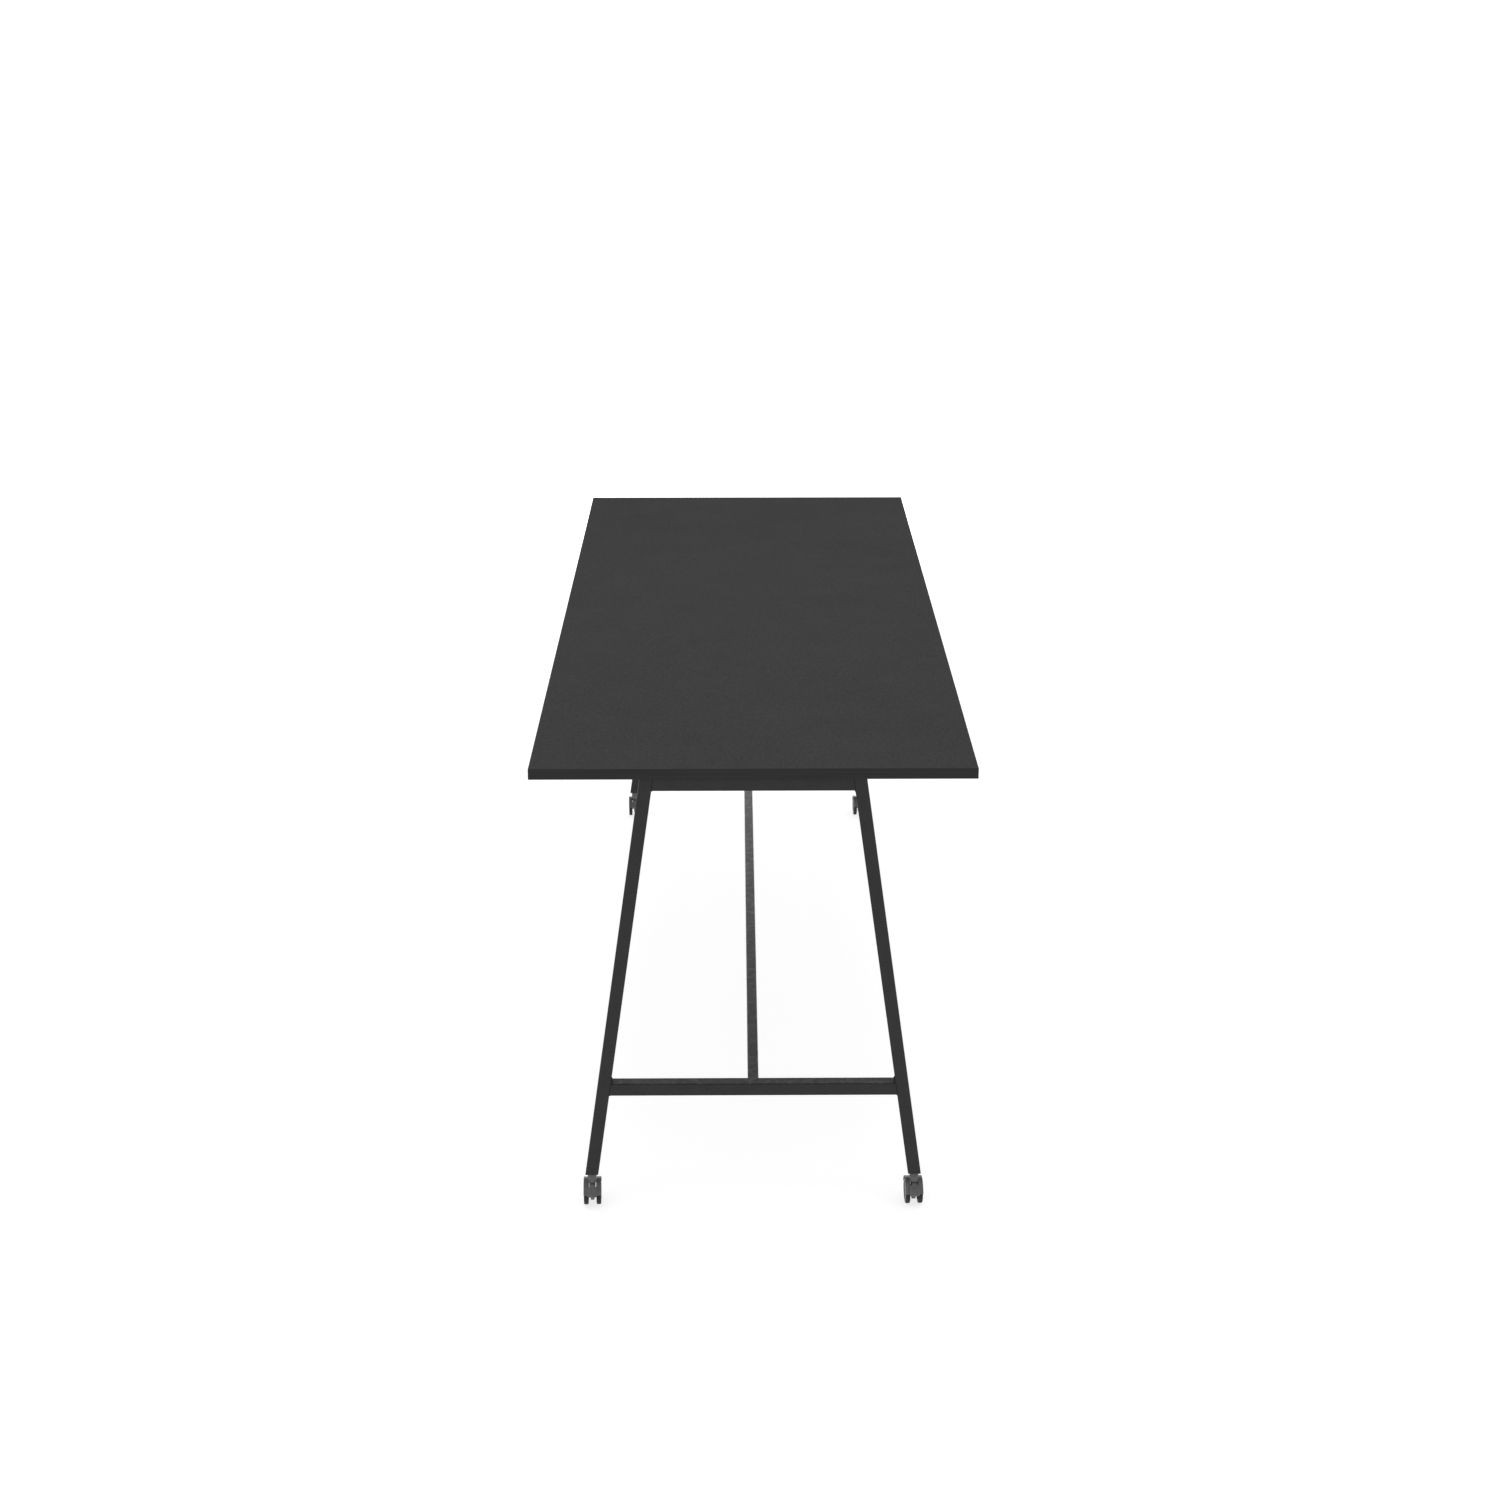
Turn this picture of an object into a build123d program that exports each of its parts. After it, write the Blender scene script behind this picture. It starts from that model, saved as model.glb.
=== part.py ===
from build123d import *
import os
from math import cos, radians, sin, tan

# Standing-height drafting table: a laminated top on two welded A-shaped end frames of square tube, a foot
# rail between them, and a swivelling twin-wheel castor with a foot brake under each leg.
# Millimetres. X across the table, Y along it (the near end is at -Y), Z up from the floor, origin on the
# floor under the middle of the top.

os.makedirs("parts", exist_ok=True)

# --- Driving dimensions ---

# Worktop
top_width = 1000.0
top_length = 2400.0
table_height = 1100.0
top_thickness = 25.0
laminate_thickness = 0.8
band_thickness = 2.0
band_round = 0.8

# End frames, welded from square tube
frame_tube = 30.0
frame_wall = 2.0
frame_round = 2.5
frame_setback = 5.0
leg_lean = 8.0
foot_half_spread = 377.0
footrest_height = 321.0

# Beams under the top, slipped over spigots on the upper crossbars
beam_tube = 30.0
beam_wall = 2.0
beam_offset = 167.0
spigot_reach = 40.0

# Foot rail between the lower crossbars
rail_tube = 25.0
rail_wall = 1.5
rail_drop = 1.0
tab_grip = 35.0
tab_reach = 18.0
tab_height = 16.0

# Screws with a low round head and a hexagon socket, and the threaded inserts in the top
screw_radius = 3.0
screw_head_radius = 6.0
screw_head_height = 2.4
screw_head_round = 1.2
screw_socket = 4.0
screw_socket_depth = 1.4
insert_radius = 5.0
insert_length = 13.0
insert_spare = 1.0
crossbar_screw_step = 37.0
beam_screw_count = 3

# Castors
castor_turn = 2.0
trail = 8.0
wheel_radius = 30.0
castor_width = 41.0
wheel_gap = 19.0
tyre_depth = 4.5
tyre_round = 2.5
rim_depth = 3.0
disc_inset = 1.4
disc_thickness = 4.6
hub_radius = 8.0
hub_cap_thickness = 2.0
axle_radius = 3.0
axle_groove_depth = 0.5
axle_groove_width = 2.0
hood_wall = 2.0
hood_edge_round = 0.8
hood_front_angle = 13.0
hood_back_angle = 13.0
web_thickness = 8.0
web_radius = 20.0
boss_radius = 10.5
boss_height = 13.6
boss_core_wall = 3.0
slot_top_angle = 75.0
stem_radius = 5.0
stem_reach = 24.0
stem_rise = 11.0
stem_tip = 3.2
journal_radius = 4.5
clip_thickness = 1.0
clip_width = 1.8
clip_bite = 0.7
collar_height = 8.5
collar_rim = 2.0
collar_top_radius = 8.5
plug_height = 28.0

# Brake pedal
pedal_wall = 3.0
pedal_half_width = 12.0
pedal_neck_inset = 2.5
pedal_low_angle = 8.0
pedal_shoulder_angle = 47.0
pedal_top_angle = 55.0
pedal_corner = 5.0
pedal_arm_thickness = 2.2
pedal_arm_width = 10.0
pedal_arm_angle = 30.0

# Clearances
running_clearance = 0.05
side_clearance = 0.5
swivel_gap = 0.4
lip_clearance = 0.25
wheel_clearance = 1.5
screw_clearance = 0.3
plug_clearance = 0.1
overcut = 1.0

# --- Places worked out from them ---

top_underside = table_height - top_thickness
core_width = top_width - 2 * band_thickness
core_length = top_length - 2 * band_thickness
frame_y = top_length / 2 - frame_setback - frame_tube / 2
upper_bar_z = top_underside - frame_tube / 2
lower_bar_z = footrest_height - frame_tube / 2
hood_inner_radius = wheel_radius + wheel_clearance
hood_radius = hood_inner_radius + hood_wall
boss_top = wheel_radius + hood_radius + boss_height
castor_height = boss_top + swivel_gap + collar_height
bar_inner_y = frame_y - frame_tube / 2
rail_z = footrest_height - rail_drop - rail_tube / 2
lean = radians(leg_lean)

ends = {"near": -1, "far": 1}
sides = {"left": -1, "right": 1}


def square_tube(size, wall, corner):
    """The section of a square tube, drawn in the open sketch."""
    RectangleRounded(size, size, corner)
    RectangleRounded(size - 2 * wall, size - 2 * wall, corner / 2, mode=Mode.SUBTRACT)


def leg_section(side, end):
    """The plane square to a leg's axis, where that axis meets the leg's foot."""
    foot = (side * foot_half_spread, end * frame_y, castor_height)
    return Plane(origin=foot, x_dir=(0, 1, 0), z_dir=(-side * sin(lean), 0, cos(lean)))


def leg_inner_face(side):
    """The plane of a leg's inner face, facing out of the frame."""
    section = leg_section(side, 0)
    outward = Vector(side * cos(lean), 0, sin(lean))
    return Plane(origin=section.origin - outward * frame_tube / 2, z_dir=outward)


def save(builder, name):
    """Names a finished piece and writes it."""
    builder.part.label = name
    export_step(builder.part, f"parts/{name}.step")


# --- Worktop: chipboard core, a laminate sheet on each face, four edge bands ---

crossbar_screws_xy = [
    (side * beam_offset + step * crossbar_screw_step, end * frame_y)
    for end in ends.values()
    for side in sides.values()
    for step in (-1, 1)
]
beam_screw_pitch = 2 * bar_inner_y / (beam_screw_count + 1)
beam_screws_y = [
    (index + 1) * beam_screw_pitch - bar_inner_y for index in range(beam_screw_count)
]
beam_screws_xy = [(side * beam_offset, y) for side in sides.values() for y in beam_screws_y]
top_screws_xy = crossbar_screws_xy + beam_screws_xy

with BuildPart() as worktop_core:
    with BuildSketch(Plane.XY.offset(top_underside + laminate_thickness)):
        Rectangle(core_width, core_length)
    extrude(amount=top_thickness - 2 * laminate_thickness)
    with BuildSketch(Plane.XY.offset(top_underside)):
        with Locations(*top_screws_xy):
            Circle(insert_radius)
    extrude(amount=insert_length + insert_spare, mode=Mode.SUBTRACT)
save(worktop_core, "worktop_core")

with BuildPart() as worktop_laminate:
    with BuildSketch(Plane.XY.offset(table_height - laminate_thickness)):
        Rectangle(core_width, core_length)
    extrude(amount=laminate_thickness)
save(worktop_laminate, "worktop_laminate")

with BuildPart() as worktop_backing:
    with BuildSketch(Plane.XY.offset(top_underside)):
        Rectangle(core_width, core_length)
        with Locations(*top_screws_xy):
            Circle(insert_radius, mode=Mode.SUBTRACT)
    extrude(amount=laminate_thickness)
save(worktop_backing, "worktop_backing")

for end, direction in ends.items():
    with BuildPart() as edge_band:
        with BuildSketch(Plane.XY.offset(top_underside)):
            with Locations((0, direction * (top_length - band_thickness) / 2)):
                Rectangle(top_width, band_thickness)
        extrude(amount=top_thickness)
        outer_face = edge_band.faces().sort_by(Axis.Y)[-1 if direction > 0 else 0]
        fillet(outer_face.edges().filter_by(Axis.X), radius=band_round)
    save(edge_band, f"edge_band_{end}")

for side, direction in sides.items():
    with BuildPart() as edge_band:
        with BuildSketch(Plane.XY.offset(top_underside)):
            with Locations((direction * (top_width - band_thickness) / 2, 0)):
                Rectangle(band_thickness, core_length)
        extrude(amount=top_thickness)
        outer_face = edge_band.faces().sort_by(Axis.X)[-1 if direction > 0 else 0]
        fillet(outer_face.edges().filter_by(Axis.Y), radius=band_round)
    save(edge_band, f"edge_band_{side}")

# --- End frames: two leaning legs with an upper and a lower crossbar welded between them ---

for end, y_sign in ends.items():
    for side, x_sign in sides.items():
        with BuildPart() as leg:
            with BuildSketch(leg_section(x_sign, y_sign)):
                square_tube(frame_tube, frame_wall, frame_round)
            extrude(amount=table_height, both=True)
            split(bisect_by=Plane.XY.offset(castor_height), keep=Keep.TOP)
            split(bisect_by=Plane.XY.offset(top_underside), keep=Keep.BOTTOM)
        save(leg, f"{end}_leg_{side}")

    with BuildPart() as upper_crossbar:
        with BuildSketch(Plane(origin=(0, y_sign * frame_y, upper_bar_z), x_dir=(0, 1, 0), z_dir=(1, 0, 0))):
            square_tube(frame_tube, frame_wall, frame_round)
        extrude(amount=foot_half_spread, both=True)
        for x_sign in sides.values():
            split(bisect_by=leg_inner_face(x_sign), keep=Keep.BOTTOM)
        with BuildSketch(Plane.XY.offset(top_underside)):
            with Locations(*[(x, y) for x, y in crossbar_screws_xy if y * y_sign > 0]):
                Circle(screw_radius + screw_clearance)
        extrude(amount=-frame_tube, mode=Mode.SUBTRACT)
    save(upper_crossbar, f"{end}_upper_crossbar")

    with BuildPart() as lower_crossbar:
        with BuildSketch(Plane(origin=(0, y_sign * frame_y, lower_bar_z), x_dir=(0, 1, 0), z_dir=(1, 0, 0))):
            square_tube(frame_tube, frame_wall, frame_round)
        extrude(amount=foot_half_spread, both=True)
        for x_sign in sides.values():
            split(bisect_by=leg_inner_face(x_sign), keep=Keep.BOTTOM)
        # Window in the inner wall for the foot rail's tab, and the bolt hole below it
        with BuildSketch(Plane.XZ.offset(-y_sign * bar_inner_y)):
            with Locations((0, rail_z)):
                inner = rail_tube - 2 * rail_wall
                Rectangle(inner, inner)
        extrude(amount=-y_sign * frame_wall, mode=Mode.SUBTRACT)
        with BuildSketch(Plane.XY.offset(footrest_height - frame_tube)):
            with Locations((0, y_sign * frame_y)):
                Circle(screw_radius + screw_clearance)
        extrude(amount=frame_wall, mode=Mode.SUBTRACT)
    save(lower_crossbar, f"{end}_lower_crossbar")

# Steel plugs in the leg ends, each with an upright thread for a castor's stem
with BuildPart() as leg_plugs:
    plug_size = frame_tube - 2 * (frame_wall + plug_clearance)
    for x_sign in sides.values():
        for y_sign in ends.values():
            with BuildSketch(leg_section(x_sign, y_sign)):
                RectangleRounded(plug_size, plug_size, frame_round / 2)
            extrude(amount=2 * plug_height, both=True)
    split(bisect_by=Plane.XY.offset(castor_height), keep=Keep.TOP)
    split(bisect_by=Plane.XY.offset(castor_height + plug_height), keep=Keep.BOTTOM)
    with BuildSketch(Plane.XY.offset(castor_height)):
        with GridLocations(2 * foot_half_spread, 2 * frame_y, 2, 2):
            Circle(stem_radius)
    extrude(amount=plug_height, mode=Mode.SUBTRACT)
save(leg_plugs, "leg_plugs")

# --- Beams under the top ---

for side, x_sign in sides.items():
    with BuildPart() as beam:
        with BuildSketch(Plane(origin=(x_sign * beam_offset, 0, top_underside - beam_tube / 2),
                               x_dir=(1, 0, 0), z_dir=(0, 1, 0))):
            square_tube(beam_tube, beam_wall, frame_round)
        extrude(amount=bar_inner_y, both=True)
        with BuildSketch(Plane.XY.offset(top_underside)):
            with Locations(*[(x_sign * beam_offset, y) for y in beam_screws_y]):
                Circle(screw_radius + screw_clearance)
        extrude(amount=-beam_tube, mode=Mode.SUBTRACT)
        # Clamping screw holes, in the lower wall only
        with BuildSketch(Plane.XY.offset(top_underside - beam_tube)):
            with Locations(*[(x_sign * beam_offset, y_sign * (bar_inner_y - spigot_reach / 2))
                             for y_sign in ends.values()]):
                Circle(screw_radius + screw_clearance)
        extrude(amount=beam_wall, mode=Mode.SUBTRACT)
    save(beam, f"under_beam_{side}")

# Spigots welded to the upper crossbars, one inside each beam end
spigot_size = beam_tube - 2 * (beam_wall + plug_clearance)
with BuildPart() as beam_spigots:
    for y_sign in ends.values():
        with BuildSketch(Plane.XZ.offset(-y_sign * bar_inner_y)):
            with Locations(*[(x_sign * beam_offset, top_underside - beam_tube / 2) for x_sign in sides.values()]):
                RectangleRounded(spigot_size, spigot_size, frame_round / 2)
        extrude(amount=y_sign * spigot_reach)
    with BuildSketch(Plane.XY.offset(top_underside - beam_tube)):
        with GridLocations(2 * beam_offset, 2 * (bar_inner_y - spigot_reach / 2), 2, 2):
            Circle(screw_radius)
    extrude(amount=beam_tube / 2, mode=Mode.SUBTRACT)
save(beam_spigots, "beam_spigots")

# --- Foot rail, its welded tabs and their bolts ---

with BuildPart() as foot_rail:
    with BuildSketch(Plane(origin=(0, 0, rail_z), x_dir=(1, 0, 0), z_dir=(0, 1, 0))):
        square_tube(rail_tube, rail_wall, frame_round)
    extrude(amount=bar_inner_y, both=True)
save(foot_rail, "foot_rail")

# Each tab is gripped in a rail end and runs through the crossbar's window to its middle
tab_width = rail_tube - 2 * (rail_wall + plug_clearance)
tab_bottom = rail_z - tab_width / 2
with BuildPart() as foot_rail_tabs:
    for y_sign in ends.values():
        with BuildSketch(Plane.XY.offset(tab_bottom)):
            with Locations((0, y_sign * (bar_inner_y + (tab_reach + frame_wall - tab_grip) / 2))):
                Rectangle(tab_width, tab_grip + tab_reach + frame_wall)
        extrude(amount=tab_height)
    fillet(foot_rail_tabs.edges().group_by(Axis.Z)[0].filter_by(Axis.Y), radius=frame_round / 2)
    with BuildSketch(Plane.XY.offset(tab_bottom)):
        with Locations(*[(0, y_sign * frame_y) for y_sign in ends.values()]):
            Circle(screw_radius)
    extrude(amount=tab_height, mode=Mode.SUBTRACT)
save(foot_rail_tabs, "foot_rail_tabs")


def screw_group(name, places, seat_z, length):
    """Screws standing upright through a seat at seat_z, heads below it."""
    with BuildPart() as screws:
        with BuildSketch(Plane.XY.offset(seat_z)):
            with Locations(*places):
                Circle(screw_head_radius)
        extrude(amount=-screw_head_height)
        fillet(screws.edges().group_by(Axis.Z)[0], radius=screw_head_round)
        with BuildSketch(Plane.XY.offset(seat_z)):
            with Locations(*places):
                Circle(screw_radius)
        extrude(amount=length)
        with BuildSketch(Plane.XY.offset(seat_z - screw_head_height)):
            with Locations(*places):
                RegularPolygon(screw_socket / 2, 6, major_radius=False)
        extrude(amount=screw_socket_depth, mode=Mode.SUBTRACT)
    save(screws, name)


screw_bite = insert_length - insert_spare
screw_group("crossbar_screws", crossbar_screws_xy, top_underside - frame_tube, frame_tube + screw_bite)
screw_group("beam_screws", beam_screws_xy, top_underside - beam_tube, beam_tube + screw_bite)
screw_group(
    "spigot_screws",
    [
        (x_sign * beam_offset, y_sign * (bar_inner_y - spigot_reach / 2))
        for x_sign in sides.values()
        for y_sign in ends.values()
    ],
    top_underside - beam_tube,
    beam_tube / 2 - insert_spare,
)
screw_group(
    "foot_rail_bolts",
    [(0, y_sign * frame_y) for y_sign in ends.values()],
    footrest_height - frame_tube,
    tab_bottom + tab_height - (footrest_height - frame_tube),
)

with BuildPart() as top_inserts:
    with BuildSketch(Plane.XY.offset(top_underside)):
        with Locations(*top_screws_xy):
            Circle(insert_radius)
            Circle(screw_radius, mode=Mode.SUBTRACT)
    extrude(amount=insert_length)
save(top_inserts, "top_inserts")

# --- One castor, about its own upright swivel axis: axle along X, wheels trailing to +Y, pedal at -Y ---

axle_plane = Plane(origin=(0, trail, wheel_radius), x_dir=(0, 1, 0), z_dir=(1, 0, 0))
tyre_inner = wheel_gap / 2
tyre_outer = castor_width / 2 - side_clearance
rim_radius = wheel_radius - tyre_depth
disc_outer = tyre_outer - disc_inset
disc_inner = disc_outer - disc_thickness
arm_inner = web_thickness / 2 + side_clearance
arm_outer = arm_inner + pedal_arm_thickness
hub_inner = arm_outer + side_clearance
axle_end = disc_outer - hub_cap_thickness
groove_middle = disc_inner + axle_groove_width / 2
slot_half_width = tyre_inner - side_clearance
boss_bottom = wheel_radius + hood_inner_radius - wheel_clearance / 2
boss_core_radius = journal_radius + boss_core_wall
stem_bottom = wheel_radius + axle_radius + stem_rise
clip_bottom = stem_bottom + stem_tip
clip_top = clip_bottom + clip_thickness
boss_core_bottom = clip_top + side_clearance
pedal_inner_radius = hood_radius + side_clearance
pedal_radius = pedal_inner_radius + pedal_wall


def polar(radius, angle):
    """A point on a circle about the axle, in the axle plane, at an angle up from the front."""
    return (-radius * cos(radians(angle)), radius * sin(radians(angle)))


def sector(inner, outer, low, high):
    """A ring sector about the axle, drawn in the open sketch, between two angles up from the front."""
    middle = (low + high) / 2
    with BuildLine() as outline:
        Line(polar(inner, low), polar(outer, low))
        ThreePointArc(polar(outer, low), polar(outer, middle), polar(outer, high))
        Line(polar(outer, high), polar(inner, high))
        ThreePointArc(polar(inner, high), polar(inner, middle), polar(inner, low))
    make_face(outline.edges())


# Moulded hood: a mudguard over both wheels, a web between them and a boss for the stem
with BuildPart() as hood:
    with BuildSketch(axle_plane):
        sector(hood_inner_radius, hood_radius, hood_front_angle, 180 - hood_back_angle)
    extrude(amount=castor_width / 2, both=True)
    rims = hood.edges().filter_by(GeomType.CIRCLE).sort_by(SortBy.RADIUS)[-2:]
    fillet(rims, radius=hood_edge_round)
    with BuildSketch(axle_plane):
        sector(hood_inner_radius - overcut, hood_radius + overcut, 0, slot_top_angle)
    extrude(amount=slot_half_width, both=True, mode=Mode.SUBTRACT)
    with BuildSketch(axle_plane):
        Circle(web_radius)
        with BuildLine():
            Line((0, 0), polar(hood_inner_radius, hood_front_angle))
            ThreePointArc(
                polar(hood_inner_radius, hood_front_angle),
                polar(hood_inner_radius, 90),
                polar(hood_inner_radius, 180 - hood_back_angle),
            )
            Line(polar(hood_inner_radius, 180 - hood_back_angle), (0, 0))
        make_face()
    extrude(amount=web_thickness / 2, both=True)
    with BuildSketch(Plane.XY.offset(boss_bottom)):
        Circle(boss_radius)
    extrude(amount=boss_top - boss_bottom)
    fillet(hood.edges().group_by(Axis.Z)[-1], radius=hood_edge_round)
    with BuildSketch(Plane.XY.offset(boss_core_bottom)):
        Circle(boss_core_radius)
    extrude(amount=boss_top - boss_core_bottom - hood_edge_round)
    # Pocket for the retaining clip, bore for the stem and bore for the axle
    with BuildSketch(Plane.XY.offset(stem_bottom - clip_width)):
        Rectangle(web_thickness, 2 * boss_core_radius)
    extrude(amount=boss_core_bottom - stem_bottom + clip_width, mode=Mode.SUBTRACT)
    with BuildSketch(Plane.XY.offset(stem_bottom)):
        Circle(journal_radius + running_clearance)
    extrude(amount=boss_top - stem_bottom, mode=Mode.SUBTRACT)
    with BuildSketch(axle_plane):
        Circle(axle_radius)
    extrude(amount=web_thickness, both=True, mode=Mode.SUBTRACT)

# Steel stem: thread for the leg plug above, journal in the hood below, groove for its clip
with BuildPart() as stem:
    with BuildSketch(Plane.XZ):
        with BuildLine():
            Polyline(
                (0, stem_bottom),
                (journal_radius, stem_bottom),
                (journal_radius, clip_bottom),
                (journal_radius - clip_bite, clip_bottom),
                (journal_radius - clip_bite, clip_top),
                (journal_radius, clip_top),
                (journal_radius, boss_top + swivel_gap),
                (stem_radius, boss_top + swivel_gap),
                (stem_radius, castor_height + stem_reach),
                (0, castor_height + stem_reach),
                close=True,
            )
        make_face()
    revolve(axis=Axis.Z)

with BuildPart() as clip:
    with BuildSketch(Plane.XY.offset(clip_bottom)):
        Circle(journal_radius - clip_bite + clip_width)
        Circle(journal_radius - clip_bite, mode=Mode.SUBTRACT)
    extrude(amount=clip_thickness)

# Collar between the leg's foot and the hood
with BuildPart() as collar:
    with BuildSketch(Plane.XZ):
        with BuildLine():
            Polyline(
                (stem_radius, castor_height - collar_height),
                (boss_radius, castor_height - collar_height),
                (boss_radius, castor_height - collar_height + collar_rim),
                (collar_top_radius, castor_height),
                (stem_radius, castor_height),
                close=True,
            )
        make_face()
    revolve(axis=Axis.Z)

# Axle pin with a snap groove near each end
with BuildPart() as axle:
    with BuildSketch(axle_plane):
        Circle(axle_radius)
    extrude(amount=axle_end, both=True)
    for x_sign in sides.values():
        with BuildSketch(axle_plane.offset(x_sign * groove_middle)):
            Circle(axle_radius)
            Circle(axle_radius - axle_groove_depth, mode=Mode.SUBTRACT)
        extrude(amount=axle_groove_width / 2, both=True, mode=Mode.SUBTRACT)

# Brake pedal: a curved shield in front of the hood on two arms that turn on the axle
with BuildPart() as pedal:
    with BuildSketch(axle_plane):
        sector(pedal_inner_radius, pedal_radius, pedal_low_angle, pedal_shoulder_angle)
    extrude(amount=pedal_half_width, both=True)
    corners = pedal.edges().filter_by(Axis.X, reverse=True).filter_by(GeomType.LINE)
    fillet(corners, radius=pedal_corner)
    with BuildSketch(axle_plane):
        sector(pedal_inner_radius, pedal_radius, pedal_arm_angle, pedal_top_angle)
    extrude(amount=slot_half_width - pedal_neck_inset, both=True)
    for x_sign in sides.values():
        with BuildSketch(axle_plane.offset(x_sign * arm_inner)):
            Circle(hub_radius)
            middle = (pedal_inner_radius + pedal_wall / 2) / 2
            with Locations(Location(polar(middle, pedal_arm_angle) + (0,), (0, 0, -pedal_arm_angle))):
                Rectangle(2 * middle, pedal_arm_width)
        extrude(amount=x_sign * pedal_arm_thickness)
    with BuildSketch(axle_plane):
        Circle(axle_radius + running_clearance)
    extrude(amount=arm_outer, both=True, mode=Mode.SUBTRACT)


def wheel_core(x_sign):
    """A moulded wheel with a blind hub, whose inner lip snaps into the axle's groove."""
    bore = axle_radius + running_clearance
    lip = axle_radius - axle_groove_depth + lip_clearance
    lip_reach = axle_groove_width / 2 - swivel_gap
    outline = [
        (axle_end + swivel_gap, 0),
        (axle_end + swivel_gap, bore),
        (groove_middle + lip_reach, bore),
        (groove_middle + lip_reach, lip),
        (groove_middle - lip_reach, lip),
        (groove_middle - lip_reach, bore),
        (hub_inner, bore),
        (hub_inner, hub_radius),
        (disc_inner, hub_radius),
        (disc_inner, rim_radius - rim_depth),
        (tyre_inner, rim_radius - rim_depth),
        (tyre_inner, rim_radius),
        (tyre_outer, rim_radius),
        (tyre_outer, rim_radius - rim_depth),
        (disc_outer, rim_radius - rim_depth - disc_inset),
        (disc_outer, 0),
    ]
    with BuildPart() as core:
        with BuildSketch(Plane(origin=(0, trail, wheel_radius), x_dir=(x_sign, 0, 0), z_dir=(0, 1, 0))):
            with BuildLine():
                Polyline(*outline, close=True)
            make_face()
        revolve(axis=Axis((0, trail, wheel_radius), (1, 0, 0)))
    return core


def tyre(x_sign):
    """A soft ring bonded on a wheel, rounded at both shoulders."""
    with BuildPart() as ring:
        with BuildSketch(axle_plane.offset(x_sign * tyre_inner)):
            Circle(wheel_radius)
            Circle(rim_radius, mode=Mode.SUBTRACT)
        extrude(amount=x_sign * (tyre_outer - tyre_inner))
        shoulders = ring.edges().filter_by(GeomType.CIRCLE).sort_by(SortBy.RADIUS)[-2:]
        fillet(shoulders, radius=tyre_round)
    return ring


castor_pieces = {
    "stem": stem,
    "hood": hood,
    "axle": axle,
    "brake_pedal": pedal,
    "wheel_left": wheel_core(-1),
    "wheel_right": wheel_core(1),
    "tyre_left": tyre(-1),
    "tyre_right": tyre(1),
}
castor_places = {
    f"{end}_{side}": Location((x_sign * foot_half_spread, y_sign * frame_y, 0), (0, 0, castor_turn))
    for end, y_sign in ends.items()
    for side, x_sign in sides.items()
}
for corner, place in castor_places.items():
    for piece, master in castor_pieces.items():
        with BuildPart() as placed:
            with Locations(place):
                add(master.part)
        save(placed, f"{corner}_castor_{piece}")

for name, master in {"castor_collars": collar, "castor_stem_clips": clip}.items():
    with BuildPart() as group:
        with Locations(*castor_places.values()):
            add(master.part)
    save(group, name)
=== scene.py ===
import math

import bmesh
import bpy
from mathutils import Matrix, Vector


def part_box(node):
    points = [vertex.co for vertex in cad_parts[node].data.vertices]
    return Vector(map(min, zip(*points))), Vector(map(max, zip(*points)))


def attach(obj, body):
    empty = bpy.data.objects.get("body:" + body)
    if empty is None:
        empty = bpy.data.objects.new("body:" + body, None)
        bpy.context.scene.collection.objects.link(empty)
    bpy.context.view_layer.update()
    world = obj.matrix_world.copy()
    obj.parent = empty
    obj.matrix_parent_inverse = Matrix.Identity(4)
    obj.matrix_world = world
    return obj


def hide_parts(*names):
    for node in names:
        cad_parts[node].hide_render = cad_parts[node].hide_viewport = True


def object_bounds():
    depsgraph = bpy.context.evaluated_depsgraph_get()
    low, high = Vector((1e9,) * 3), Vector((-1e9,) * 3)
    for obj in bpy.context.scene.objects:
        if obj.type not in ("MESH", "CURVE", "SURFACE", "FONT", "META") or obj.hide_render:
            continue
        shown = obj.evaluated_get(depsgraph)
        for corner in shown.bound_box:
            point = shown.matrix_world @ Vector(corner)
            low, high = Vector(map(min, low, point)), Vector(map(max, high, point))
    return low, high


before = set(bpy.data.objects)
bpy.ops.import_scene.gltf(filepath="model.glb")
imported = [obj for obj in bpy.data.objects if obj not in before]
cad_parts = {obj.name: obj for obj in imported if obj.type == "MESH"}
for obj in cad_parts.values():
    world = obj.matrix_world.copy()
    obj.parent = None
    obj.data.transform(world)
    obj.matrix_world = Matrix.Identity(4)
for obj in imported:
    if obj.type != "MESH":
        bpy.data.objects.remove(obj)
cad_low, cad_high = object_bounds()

# Studio: a pale floor lit evenly from below, as on a light table, under one large softbox over the top, a
# softer one from the left and a long low one behind. The camera stands in front of the near end, a little
# left of the middle, and looks down along the table.


def linear(code):
    """An sRGB hex colour as linear RGBA."""
    parts = [int(code[i:i + 2], 16) / 255 for i in (1, 3, 5)]
    return [p / 12.92 if p <= 0.04045 else ((p + 0.055) / 1.055) ** 2.4 for p in parts] + [1.0]


def add(tree, kind, values=None, links=None, **settings):
    """Adds a node with its settings, the values of its inputs and the outputs that feed them."""
    made = tree.nodes.new(kind)
    for key, value in settings.items():
        setattr(made, key, value)
    for key, value in (values or {}).items():
        made.inputs[key].default_value = value
    for key, output in (links or {}).items():
        tree.links.new(output, made.inputs[key])
    return made


def new_material(name, colour, values):
    """A material with its colour and its shader's constant values. Returns it with its tree and shader."""
    made = bpy.data.materials.new(name)
    made.use_nodes = True
    shader = made.node_tree.nodes["Principled BSDF"]
    shader.inputs["Base Color"].default_value = linear(colour)
    for key, value in values.items():
        shader.inputs[key].default_value = value
    return made, made.node_tree, shader


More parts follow.
